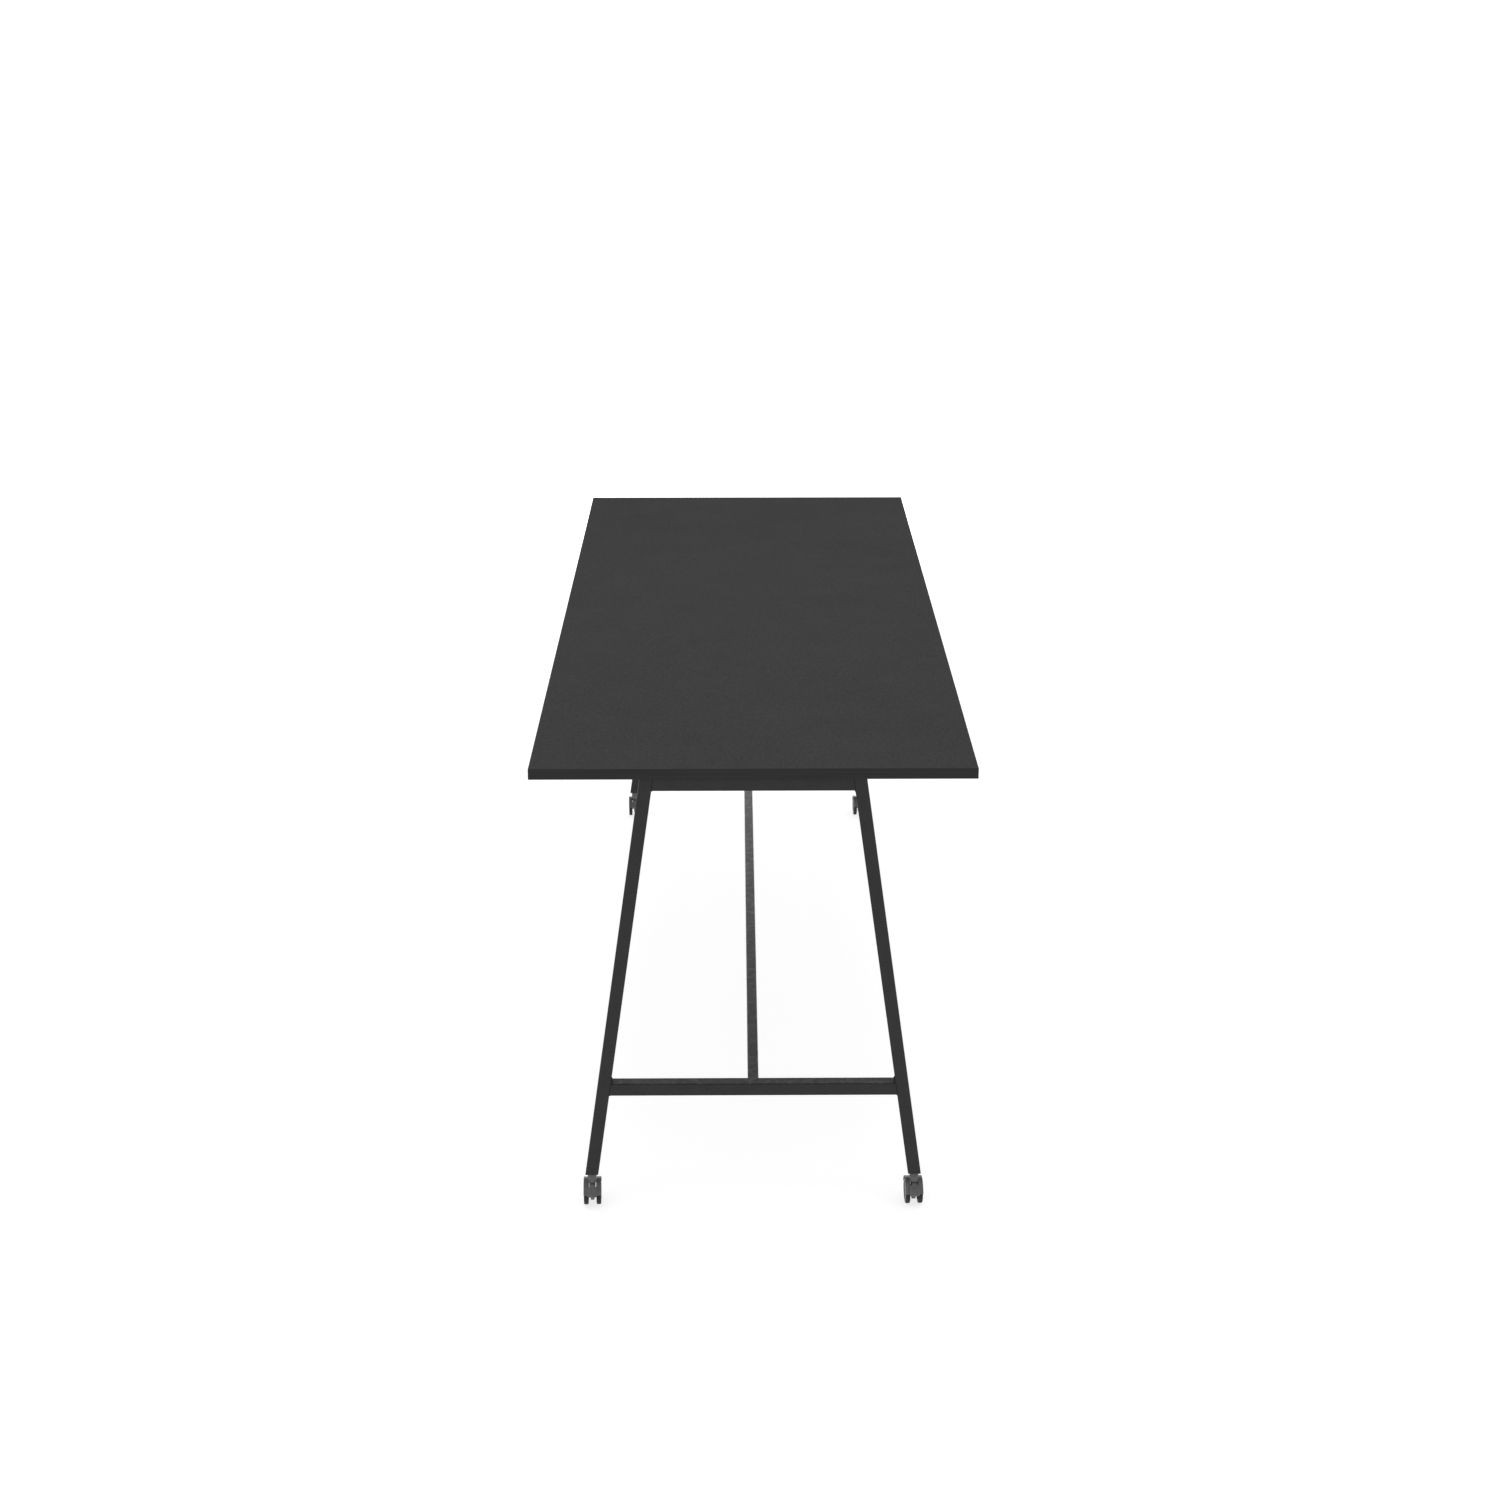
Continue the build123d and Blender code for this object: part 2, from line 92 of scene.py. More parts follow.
def object_from(name, mesh):
    """A new object for a mesh whose vertices are already in place."""
    made = bpy.data.objects.new(name, mesh)
    bpy.context.scene.collection.objects.link(made)
    return made


floor_half = 30.0
floor_mesh = bpy.data.meshes.new("floor")
floor_mesh.from_pydata(
    [(x * floor_half, y * floor_half, 0.0) for x, y in ((-1, -1), (1, -1), (1, 1), (-1, 1))],
    [],
    [(0, 1, 2, 3)],
)
floor = object_from("floor", floor_mesh)
floor_finish, _, _ = new_material(
    "matt white light-table floor",
    "#bcbcbc",
    {
        "Roughness": 0.9,
        "Specular IOR Level": 0.0,
        "Emission Color": linear("#ffffff"),
        "Emission Strength": 0.74,
    },
)
floor_mesh.materials.append(floor_finish)

# The camera sees a plain white surround, and the table is lit and reflected by a dimmer one
surround_light = 0.58
surround_shown = 1.2
world = bpy.data.worlds.new("studio")
world.use_nodes = True
surround = world.node_tree.nodes["Background"]
ray = add(world.node_tree, "ShaderNodeLightPath")
brightness = add(
    world.node_tree,
    "ShaderNodeMapRange",
    {"To Min": surround_light, "To Max": surround_shown},
    {"Value": ray.outputs["Is Camera Ray"]},
)
surround.inputs["Color"].default_value = linear("#ffffff")
world.node_tree.links.new(brightness.outputs["Result"], surround.inputs["Strength"])
bpy.context.scene.world = world
bpy.context.scene.view_settings.view_transform = "Standard"

# Each light's place, the point it is aimed at, its width and depth in metres, and its power in watts
top_height = cad_high.z
soft_lights = {
    "overhead softbox": ((0.0, -0.6, 4.2), (0.0, 0.0, top_height), (5.0, 4.0), 42.0),
    "left softbox": ((-4.5, -3.5, 2.2), (0.0, 0.0, 0.6), (2.5, 2.5), 4.0),
    "low back light": ((0.0, 5.5, 0.72), (0.0, 0.0, 0.3), (6.0, 0.65), 150.0),
}
for name, (place, target, (width, depth), power) in soft_lights.items():
    lamp = bpy.data.lights.new(name, "AREA")
    lamp.shape = "RECTANGLE"
    lamp.size = width
    lamp.size_y = depth
    lamp.energy = power
    lamp_object = bpy.data.objects.new(name, lamp)
    lamp_object.visible_camera = False
    lamp_object.location = place
    lamp_object.rotation_euler = (Vector(target) - Vector(place)).to_track_quat("-Z", "Y").to_euler()
    bpy.context.scene.collection.objects.link(lamp_object)

camera_pitch = math.radians(15.22)
camera_turn = math.radians(0.40)
camera = bpy.data.cameras.new("camera")
camera.sensor_width = 36.0
camera.lens = 53.8
camera.shift_y = -0.15
camera_object = bpy.data.objects.new("camera", camera)
camera_object.location = (-0.040, -5.850, 2.925)
camera_object.rotation_euler = (math.pi / 2 - camera_pitch, 0.0, -camera_turn)
bpy.context.scene.collection.objects.link(camera_object)
bpy.context.scene.camera = camera_object

# Worktop: a 25 mm board of chipboard, with a sheet of high-pressure laminate glued to the top and a
# balancing sheet of the same laminate underneath. Pressed between plates with a suede face, it is matt
# and dark all over, with a fine speckle, a very faint cloudiness and a trace of polish where arms rub it.


def finish(names, material):
    """Gives the CAD nodes with these names their finish."""
    for name in names:
        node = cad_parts[name]
        node.data.materials.clear()
        node.data.materials.append(material)


laminate_finish, tree, shader = new_material(
    "suede-matt high-pressure laminate",
    "#3f3f40",
    {"Roughness": 0.62, "IOR": 1.5, "Specular IOR Level": 0.04},
)
place = add(tree, "ShaderNodeTexCoord").outputs["Object"]
cloud_size = 0.11
clouds = add(
    tree,
    "ShaderNodeTexNoise",
    {"Scale": 1 / cloud_size, "Detail": 4.0, "Roughness": 0.6},
    {"Vector": place},
)
# The real suede pores are about 0.4 mm apart, and are drawn at 3 mm so that they show at arm's length
pore_size = 0.003
pores = add(
    tree,
    "ShaderNodeTexNoise",
    {"Scale": 1 / pore_size, "Detail": 3.0, "Roughness": 0.7},
    {"Vector": place},
)
speckle = add(
    tree,
    "ShaderNodeMix",
    {"Factor": 0.9},
    {"A": clouds.outputs["Fac"], "B": pores.outputs["Fac"]},
    data_type="FLOAT",
)
colour = add(tree, "ShaderNodeValToRGB", {}, {"Fac": speckle.outputs["Result"]})
colour.color_ramp.elements[0].position = 0.36
colour.color_ramp.elements[0].color = linear("#353536")
colour.color_ramp.elements[1].position = 0.64
colour.color_ramp.elements[1].color = linear("#484849")
tree.links.new(colour.outputs["Color"], shader.inputs["Base Color"])
rub_size = 0.35
rubbing = add(tree, "ShaderNodeTexNoise", {"Scale": 1 / rub_size, "Detail": 2.0}, {"Vector": place})
sheen_spread = add(
    tree,
    "ShaderNodeMapRange",
    {"From Min": 0.35, "From Max": 0.65, "To Min": 0.64, "To Max": 0.6},
    {"Value": rubbing.outputs["Fac"]},
)
tree.links.new(sheen_spread.outputs["Result"], shader.inputs["Roughness"])
relief = add(tree, "ShaderNodeBump", {"Strength": 0.5, "Distance": 0.0004}, {"Height": pores.outputs["Fac"]})
tree.links.new(relief.outputs["Normal"], shader.inputs["Normal"])
finish(["worktop_laminate", "worktop_backing"], laminate_finish)

# The board between the sheets is pressed from wood chips, which gives pale brown with darker flakes
chip_finish, tree, shader = new_material("raw chipboard", "#a88f6c", {"Roughness": 0.85})
place = add(tree, "ShaderNodeTexCoord").outputs["Object"]
chip_size = 0.006
chips = add(tree, "ShaderNodeTexVoronoi", {"Scale": 1 / chip_size}, {"Vector": place})
tint = add(tree, "ShaderNodeSeparateColor", {}, {"Color": chips.outputs["Color"]})
colour = add(tree, "ShaderNodeValToRGB", {}, {"Fac": tint.outputs["Red"]})
colour.color_ramp.elements[0].color = linear("#86694a")
colour.color_ramp.elements[1].color = linear("#c9b08a")
tree.links.new(colour.outputs["Color"], shader.inputs["Base Color"])
relief = add(
    tree,
    "ShaderNodeBump",
    {"Strength": 0.4, "Distance": 0.0006},
    {"Height": chips.outputs["Distance"]},
)
tree.links.new(relief.outputs["Normal"], shader.inputs["Normal"])
finish(["worktop_core"], chip_finish)

# Edge bands: 2 mm strips of ABS, extruded, glued round the board and trimmed with a small round along
# both edges. The extruding die leaves faint lines along each strip, and the face is a little smoother
# and darker than the laminate. Real die lines are about 0.3 mm apart, and are drawn at 1.6 mm to show.
die_line_width = 0.0016
die_line_length = 0.4
for pair, length_scale in {
    ("near", "far"): (1 / die_line_length, 1 / die_line_width, 1 / die_line_width),
    ("left", "right"): (1 / die_line_width, 1 / die_line_length, 1 / die_line_width),
}.items():
    band_finish, tree, shader = new_material(
        f"extruded ABS edge band, {pair[0]} and {pair[1]}",
        "#2d2d2e",
        {"Roughness": 0.5, "IOR": 1.53, "Specular IOR Level": 0.1},
    )
    place = add(tree, "ShaderNodeTexCoord").outputs["Object"]
    stretched = add(tree, "ShaderNodeMapping", {"Scale": length_scale}, {"Vector": place})
    lines = add(
        tree,
        "ShaderNodeTexNoise",
        {"Scale": 1.0, "Detail": 2.0},
        {"Vector": stretched.outputs["Vector"]},
    )
    colour = add(tree, "ShaderNodeValToRGB", {}, {"Fac": lines.outputs["Fac"]})
    colour.color_ramp.elements[0].position = 0.35
    colour.color_ramp.elements[0].color = linear("#252526")
    colour.color_ramp.elements[1].position = 0.65
    colour.color_ramp.elements[1].color = linear("#343435")
    tree.links.new(colour.outputs["Color"], shader.inputs["Base Color"])
    gloss = add(tree, "ShaderNodeMapRange", {"To Min": 0.42, "To Max": 0.58}, {"Value": lines.outputs["Fac"]})
    tree.links.new(gloss.outputs["Result"], shader.inputs["Roughness"])
    relief = add(
        tree,
        "ShaderNodeBump",
        {"Strength": 0.4, "Distance": 0.0002},
        {"Height": lines.outputs["Fac"]},
    )
    tree.links.new(relief.outputs["Normal"], shader.inputs["Normal"])
    finish([f"edge_band_{side}" for side in pair], band_finish)

# End frames: legs and crossbars of 30 mm square steel tube, mitred and welded, then powder-coated in a
# fine dark grey texture. The baked powder flows into a shallow orange peel and takes a soft light along
# the tubes. Shoes rub the lower bars, which are a little paler and smoother along their upper sides, and
# the paler colour there is also a painted highlight of the light falling on their tops.


def powder_coat(name, wear_and_highlight_amount):
    """Fine-textured powder coat on steel. The second argument is how far its upper sides are painted paler,
    from 0 to 1: shoe wear, and also a painted highlight of the light falling on them.
    """
    made, tree, shader = new_material(
        name,
        "#282829",
        {"Roughness": 0.5, "IOR": 1.32, "Specular IOR Level": 0.5},
    )
    place = add(tree, "ShaderNodeTexCoord").outputs["Object"]
    # Orange peel is about 1 mm across on a real tube, and is drawn at 1.4 mm so that it shows
    peel_size = 0.0014
    peel = add(tree, "ShaderNodeTexNoise", {"Scale": 1 / peel_size, "Detail": 3.0}, {"Vector": place})
    film_size = 0.05
    film = add(tree, "ShaderNodeTexNoise", {"Scale": 1 / film_size, "Detail": 3.0}, {"Vector": place})
    tone = add(
        tree,
        "ShaderNodeMix",
        {"Factor": 0.25},
        {"A": peel.outputs["Fac"], "B": film.outputs["Fac"]},
        data_type="FLOAT",
    )
    colour = add(tree, "ShaderNodeValToRGB", {}, {"Fac": tone.outputs["Result"]})
    colour.color_ramp.elements[0].position = 0.38
    colour.color_ramp.elements[0].color = linear("#232324")
    colour.color_ramp.elements[1].position = 0.62
    colour.color_ramp.elements[1].color = linear("#2e2e2f")
    # Shoe wear and painted highlight: paler, smoother patches, only where the surface faces up. The paler
    # colour stands partly for rubbing and partly for the light falling on the upper sides.
    patch_size = 0.02
    patches = add(
        tree,
        "ShaderNodeTexNoise",
        {"Scale": 1 / patch_size, "Detail": 5.0, "Roughness": 0.7},
        {"Vector": place},
    )
    wear_and_highlight_patches = add(
        tree,
        "ShaderNodeMapRange",
        {"From Min": 0.5, "From Max": 0.68, "To Max": wear_and_highlight_amount},
        {"Value": patches.outputs["Fac"]},
    )
    outward = add(tree, "ShaderNodeNewGeometry").outputs["Normal"]
    facing = add(tree, "ShaderNodeSeparateXYZ", {}, {"Vector": outward})
    upward = add(
        tree,
        "ShaderNodeMapRange",
        {"From Min": 0.3, "From Max": 0.9},
        {"Value": facing.outputs["Z"]},
    )
    wear_and_highlight_mask = add(
        tree,
        "ShaderNodeMath",
        {},
        {0: wear_and_highlight_patches.outputs["Result"], 1: upward.outputs["Result"]},
        operation="MULTIPLY",
    )
    wear_and_highlight_colour = add(
        tree,
        "ShaderNodeMix",
        {"B": linear("#444445")},
        {"Factor": wear_and_highlight_mask.outputs["Value"], "A": colour.outputs["Color"]},
        data_type="RGBA",
    )
    tree.links.new(wear_and_highlight_colour.outputs["Result"], shader.inputs["Base Color"])
    smooth = add(
        tree,
        "ShaderNodeMapRange",
        {"To Min": 0.54, "To Max": 0.46},
        {"Value": film.outputs["Fac"]},
    )
    gloss = add(
        tree,
        "ShaderNodeMix",
        {"B": 0.36},
        {"Factor": wear_and_highlight_mask.outputs["Value"], "A": smooth.outputs["Result"]},
        data_type="FLOAT",
    )
    tree.links.new(gloss.outputs["Result"], shader.inputs["Roughness"])
    relief = add(
        tree,
        "ShaderNodeBump",
        {"Strength": 0.7, "Distance": 0.0005},
        {"Height": peel.outputs["Fac"]},
    )
    tree.links.new(relief.outputs["Normal"], shader.inputs["Normal"])
    return made


coat_finish = powder_coat("fine-textured powder coat", 0.0)
# The lower bars' coat is painted paler on its upper sides, for shoe wear and as a painted highlight
worn_and_highlit_coat_finish = powder_coat("fine-textured powder coat, rubbed by shoes", 0.8)
ends = {"near": -1, "far": 1}
sides = {"left": -1, "right": 1}
finish([f"{end}_leg_{side}" for end in ends for side in sides], coat_finish)
finish([f"{end}_upper_crossbar" for end in ends], coat_finish)
finish([f"{end}_lower_crossbar" for end in ends], worn_and_highlit_coat_finish)

# Weld beads: each crossbar is welded to the legs' inner faces with a bead along its inner side and its
# underside, laid as small overlapping ripples and left as welded. The outer faces are flush and ground
# smooth before coating, so no bead shows there. Powder coat covers the steel.


def socket(tree, name):
    """The identifier of a tree's named input, by which a modifier sets it."""
    return next(item.identifier for item in tree.interface.items_tree if item.name == name)


def node_group(name, inputs):
    """A geometry tree with named inputs of the given types and defaults, and its two end nodes."""
    tree = bpy.data.node_groups.new(name, "GeometryNodeTree")
    tree.interface.new_socket("Geometry", in_out="INPUT", socket_type="NodeSocketGeometry")
    tree.interface.new_socket("Geometry", in_out="OUTPUT", socket_type="NodeSocketGeometry")
    for label, (kind, value) in inputs.items():
        made = tree.interface.new_socket(label, in_out="INPUT", socket_type=kind)
        if value is not None:
            made.default_value = value
    return tree, add(tree, "NodeGroupInput"), add(tree, "NodeGroupOutput")


def grown(name, start_mesh, tree, values):
    """The plain mesh object that a geometry tree makes from a start mesh, with the tree's inputs set."""
    seed_object = object_from(f"{name}_start", start_mesh)
    modifier = seed_object.modifiers.new("growth", "NODES")
    modifier.node_group = tree
    for label, value in values.items():
        modifier[socket(tree, label)] = value
    evaluated = seed_object.evaluated_get(bpy.context.evaluated_depsgraph_get())
    mesh = bpy.data.meshes.new_from_object(evaluated)
    mesh.name = name
    bpy.data.objects.remove(seed_object)
    return object_from(name, mesh)


bead_radius = 0.0022
ripple_pitch = 0.0017
bead_tree, bead_in, bead_out = node_group(
    "weld bead",
    {
        "Bead Radius": ("NodeSocketFloat", bead_radius),
        "Ripple Pitch": ("NodeSocketFloat", ripple_pitch),
        "Unevenness": ("NodeSocketFloat", 0.12),
        "Finish": ("NodeSocketMaterial", None),
    },
)
seam_curve = add(bead_tree, "GeometryNodeMeshToCurve", {}, {"Mesh": bead_in.outputs["Geometry"]})
spaced = add(
    bead_tree,
    "GeometryNodeResampleCurve",
    {},
    {"Curve": seam_curve.outputs["Curve"], "Length": bead_in.outputs["Ripple Pitch"]},
    mode="LENGTH",
)
ripple = add(
    bead_tree,
    "GeometryNodeMeshUVSphere",
    {"Segments": 8, "Rings": 5},
    {"Radius": bead_in.outputs["Bead Radius"]},
)
along_seam = add(
    bead_tree,
    "FunctionNodeAlignRotationToVector",
    {},
    {"Vector": add(bead_tree, "GeometryNodeInputTangent").outputs["Tangent"]},
    axis="Z",
)
largest = add(bead_tree, "ShaderNodeMath", {0: 1.0}, {1: bead_in.outputs["Unevenness"]}, operation="ADD")
smallest = add(
    bead_tree,
    "ShaderNodeMath",
    {0: 1.0},
    {1: bead_in.outputs["Unevenness"]},
    operation="SUBTRACT",
)
ripple_size = add(
    bead_tree,
    "FunctionNodeRandomValue",
    {"Seed": 7},
    {"Min": smallest.outputs["Value"], "Max": largest.outputs["Value"]},
    data_type="FLOAT",
)
laid = add(
    bead_tree,
    "GeometryNodeInstanceOnPoints",
    {},
    {
        "Points": spaced.outputs["Curve"],
        "Instance": ripple.outputs["Mesh"],
        "Rotation": along_seam.outputs["Rotation"],
        "Scale": ripple_size.outputs["Value"],
    },
)
solid = add(bead_tree, "GeometryNodeRealizeInstances", {}, {"Geometry": laid.outputs["Instances"]})
rounded = add(bead_tree, "GeometryNodeSetShadeSmooth", {}, {"Geometry": solid.outputs["Geometry"]})
coated = add(
    bead_tree,
    "GeometryNodeSetMaterial",
    {},
    {"Geometry": rounded.outputs["Geometry"], "Material": bead_in.outputs["Finish"]},
)
bead_tree.links.new(coated.outputs["Geometry"], bead_out.inputs["Geometry"])

# The seam under a bar starts this share of the way in from its outer side, and a bead's middle lies this
# share of its radius inside the joint
seam_start = 0.15
bead_depth = 0.3
for end, y_sign in ends.items():
    upper_low, upper_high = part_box(f"{end}_upper_crossbar")
    lower_low, lower_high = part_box(f"{end}_lower_crossbar")
    lean_slope = (lower_high.x - upper_high.x) / (upper_low.z - lower_low.z)
    inner_y = upper_high.y if y_sign < 0 else upper_low.y
    outer_y = upper_low.y if y_sign < 0 else upper_high.y
    seam_points = []
    seam_edges = []
    for low, high in ((upper_low, upper_high), (lower_low, lower_high)):
        for x_sign in sides.values():
            # Under the bar from its outer side to its inner side, then up that side
            start_y = outer_y + seam_start * (inner_y - outer_y)
            first = len(seam_points)
            for y, z in ((start_y, low.z), (inner_y, low.z), (inner_y, high.z)):
                half_length = high.x - (z - low.z) * lean_slope
                seam_points.append((x_sign * (half_length - bead_depth * bead_radius), y, z))
            seam_edges += [(first, first + 1), (first + 1, first + 2)]
    seam_mesh = bpy.data.meshes.new(f"{end}_weld_seams")
    seam_mesh.from_pydata(seam_points, seam_edges, [])
    beads = grown(
        f"{end}_frame_weld_beads",
        seam_mesh,
        bead_tree,
        {"Bead Radius": bead_radius, "Ripple Pitch": ripple_pitch, "Finish": coat_finish},
    )
    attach(beads, "table")

# Beams under the top: two 30 mm tubes slipped over spigots on the upper crossbars and screwed up into
# the board, so that the long top doesn't sag. They are coated like the frames.
finish(["under_beam_left", "under_beam_right", "beam_spigots"], coat_finish)

# Foot rail: a 25 mm tube between the lower crossbars, held at each end on a steel tab that runs into
# the crossbar and is bolted from below. It is coated like the frames, and its top is painted paler, partly
# for shoe wear and partly as a painted highlight of the light falling on it.
finish(["foot_rail"], worn_and_highlit_coat_finish)
finish(["foot_rail_tabs"], coat_finish)

# Screws: M6 with a low round head and a hexagon socket, rolled and pressed from steel wire and black
# zinc plated. They go up through the tubes into the board or the spigots, heads below. The plating is
# dark and half glossy, slightly cloudy, so a head catches a small soft highlight round its rim.
screw_finish, tree, shader = new_material(
    "black zinc-plated steel",
    "#2b2b2d",
    {"Metallic": 0.7, "Roughness": 0.38},
)
place = add(tree, "ShaderNodeTexCoord").outputs["Object"]
plating_size = 0.0015
plating = add(tree, "ShaderNodeTexNoise", {"Scale": 1 / plating_size, "Detail": 3.0}, {"Vector": place})
colour = add(tree, "ShaderNodeValToRGB", {}, {"Fac": plating.outputs["Fac"]})
colour.color_ramp.elements[0].color = linear("#242427")
colour.color_ramp.elements[1].color = linear("#343437")
tree.links.new(colour.outputs["Color"], shader.inputs["Base Color"])
gloss = add(tree, "ShaderNodeMapRange", {"To Min": 0.3, "To Max": 0.48}, {"Value": plating.outputs["Fac"]})
tree.links.new(gloss.outputs["Result"], shader.inputs["Roughness"])

head_height = 0.0024
screw_tree, screw_in, screw_out = node_group(
    "button-head screw",
    {
        "Head Radius": ("NodeSocketFloat", 0.006),
        "Head Height": ("NodeSocketFloat", head_height),
        "Socket Radius": ("NodeSocketFloat", 0.0023),
        "Socket Depth": ("NodeSocketFloat", 0.0014),
        "Shank Radius": ("NodeSocketFloat", 0.003),
        "Shank Length": ("NodeSocketFloat", 0.04),
        "Finish": ("NodeSocketMaterial", None),
    },
)
# The head rises from its rim in steps, each a share of the height and drawn in to a share of the radius
rim_share = 0.38
crown_steps = ((0.22, 0.96), (0.18, 0.93), (0.13, 0.9), (0.09, 0.86))


def lifted(tree, output, height):
    """A mesh moved up by a height."""
    lift = add(tree, "ShaderNodeCombineXYZ", {}, {"Z": height})
    shift = lift.outputs["Vector"]
    moved = add(tree, "GeometryNodeTransform", {}, {"Geometry": output, "Translation": shift})
    return moved.outputs["Geometry"]


head_rise = screw_in.outputs["Head Height"]
rim_height = add(screw_tree, "ShaderNodeMath", {1: rim_share}, {0: head_rise}, operation="MULTIPLY")
rim_middle = add(screw_tree, "ShaderNodeMath", {1: rim_share / 2}, {0: head_rise}, operation="MULTIPLY")
rim = add(
    screw_tree,
    "GeometryNodeMeshCylinder",
    {"Vertices": 32},
    {"Radius": screw_in.outputs["Head Radius"], "Depth": rim_height.outputs["Value"]},
)
head = lifted(screw_tree, rim.outputs["Mesh"], rim_middle.outputs["Value"])
crown = rim.outputs["Top"]
for rise, narrowing in crown_steps:
    step = add(screw_tree, "ShaderNodeMath", {1: rise}, {0: head_rise}, operation="MULTIPLY")
    raised = add(
        screw_tree,
        "GeometryNodeExtrudeMesh",
        {},
        {"Mesh": head, "Selection": crown, "Offset Scale": step.outputs["Value"]},
        mode="FACES",
    )
    crown = raised.outputs["Top"]
    drawn_in = add(
        screw_tree,
        "GeometryNodeScaleElements",
        {"Scale": narrowing},
        {"Geometry": raised.outputs["Mesh"], "Selection": crown},
    )
    head = drawn_in.outputs["Geometry"]
# The hexagon is twice as long as the socket is deep, because half of it stands clear of the head
twice_deep = add(
    screw_tree,
    "ShaderNodeMath",
    {1: 2.0},
    {0: screw_in.outputs["Socket Depth"]},
    operation="MULTIPLY",
)
hexagon = add(
    screw_tree,
    "GeometryNodeMeshCylinder",
    {"Vertices": 6},
    {"Radius": screw_in.outputs["Socket Radius"], "Depth": twice_deep.outputs["Value"]},
)
hollowed = add(
    screw_tree,
    "GeometryNodeMeshBoolean",
    {},
    {"Mesh 1": head, "Mesh 2": lifted(screw_tree, hexagon.outputs["Mesh"], head_rise)},
    operation="DIFFERENCE",
)
shank = add(
    screw_tree,
    "GeometryNodeMeshCylinder",
    {"Vertices": 16},
    {"Radius": screw_in.outputs["Shank Radius"], "Depth": screw_in.outputs["Shank Length"]},
)
screw = add(screw_tree, "GeometryNodeJoinGeometry")
screw_tree.links.new(hollowed.outputs["Mesh"], screw.inputs["Geometry"])
shank_middle = add(
    screw_tree,
    "ShaderNodeMath",
    {1: -0.5},
    {0: screw_in.outputs["Shank Length"]},
    operation="MULTIPLY",
)
shank_below = lifted(screw_tree, shank.outputs["Mesh"], shank_middle.outputs["Value"])
screw_tree.links.new(shank_below, screw.inputs["Geometry"])
# Heads point down, and no two sockets are turned alike
key_turn = add(screw_tree, "FunctionNodeRandomValue", {"Max": math.tau, "Seed": 3}, data_type="FLOAT")
head_down = add(screw_tree, "ShaderNodeCombineXYZ", {"X": math.pi}, {"Z": key_turn.outputs["Value"]})
driven = add(
    screw_tree,
    "GeometryNodeInstanceOnPoints",
    {},
    {
        "Points": screw_in.outputs["Geometry"],
        "Instance": screw.outputs["Geometry"],
        "Rotation": head_down.outputs["Vector"],
    },
)
solid = add(screw_tree, "GeometryNodeRealizeInstances", {}, {"Geometry": driven.outputs["Instances"]})
plated = add(
    screw_tree,
    "GeometryNodeSetMaterial",
    {},
    {"Geometry": solid.outputs["Geometry"], "Material": screw_in.outputs["Finish"]},
)
screw_tree.links.new(plated.outputs["Geometry"], screw_out.inputs["Geometry"])


def solids_in(name):
    """The lowest and highest corner of each separate solid in a CAD node."""
    same_place = 1e-6
    merged = bmesh.new()
    merged.from_mesh(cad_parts[name].data)
    bmesh.ops.remove_doubles(merged, verts=merged.verts, dist=same_place)
    waiting = set(merged.verts)
    found = []
    while waiting:
        front = [waiting.pop()]
        points = []
        while front:
            vertex = front.pop()
            points.append(vertex.co.copy())
            for edge in vertex.link_edges:
                other = edge.other_vert(vertex)
                if other in waiting:
                    waiting.remove(other)
                    front.append(other)
        found.append(tuple(Vector(pick(axis) for axis in zip(*points)) for pick in (min, max)))
    merged.free()
    return sorted(found, key=lambda box: tuple(box[0]))


# The screws of a node are alike, so the first one's box gives their sizes
for name in ("crossbar_screws", "beam_screws", "spigot_screws", "foot_rail_bolts"):
    boxes = solids_in(name)
    low, high = boxes[0]
    seat_mesh = bpy.data.meshes.new(f"{name}_seats")
    seats = [((a.x + b.x) / 2, (a.y + b.y) / 2, a.z + head_height) for a, b in boxes]
    seat_mesh.from_pydata(seats, [], [])
    screws = grown(
        f"{name}_button_head",
        seat_mesh,
        screw_tree,
        {
            "Head Radius": (high.x - low.x) / 2,
            "Head Height": head_height,
            "Shank Length": high.z - low.z - head_height,
            "Finish": screw_finish,
        },
    )
    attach(screws, "table")
    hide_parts(name)

# Threaded inserts: turned brass sleeves, 10 mm across, pressed into the underside of the board for the
# screws. They are a bright yellow metal. The lathe's rings are about 0.1 mm apart, and are drawn at 0.6 mm
# to show.
brass_finish, tree, shader = new_material("turned brass", "#b08d4f", {"Metallic": 1.0, "Roughness": 0.32})
place = add(tree, "ShaderNodeTexCoord").outputs["Object"]
turning_pitch = 0.0006
rings = add(tree, "ShaderNodeMapping", {"Scale": (0.0, 0.0, 1 / turning_pitch)}, {"Vector": place})
turning = add(tree, "ShaderNodeTexNoise", {"Scale": 1.0, "Detail": 1.0}, {"Vector": rings.outputs["Vector"]})
gloss = add(tree, "ShaderNodeMapRange", {"To Min": 0.24, "To Max": 0.42}, {"Value": turning.outputs["Fac"]})
tree.links.new(gloss.outputs["Result"], shader.inputs["Roughness"])
relief = add(
    tree,
    "ShaderNodeBump",
    {"Strength": 0.3, "Distance": 0.0001},
    {"Height": turning.outputs["Fac"]},
)
tree.links.new(relief.outputs["Normal"], shader.inputs["Normal"])
finish(["top_inserts"], brass_finish)

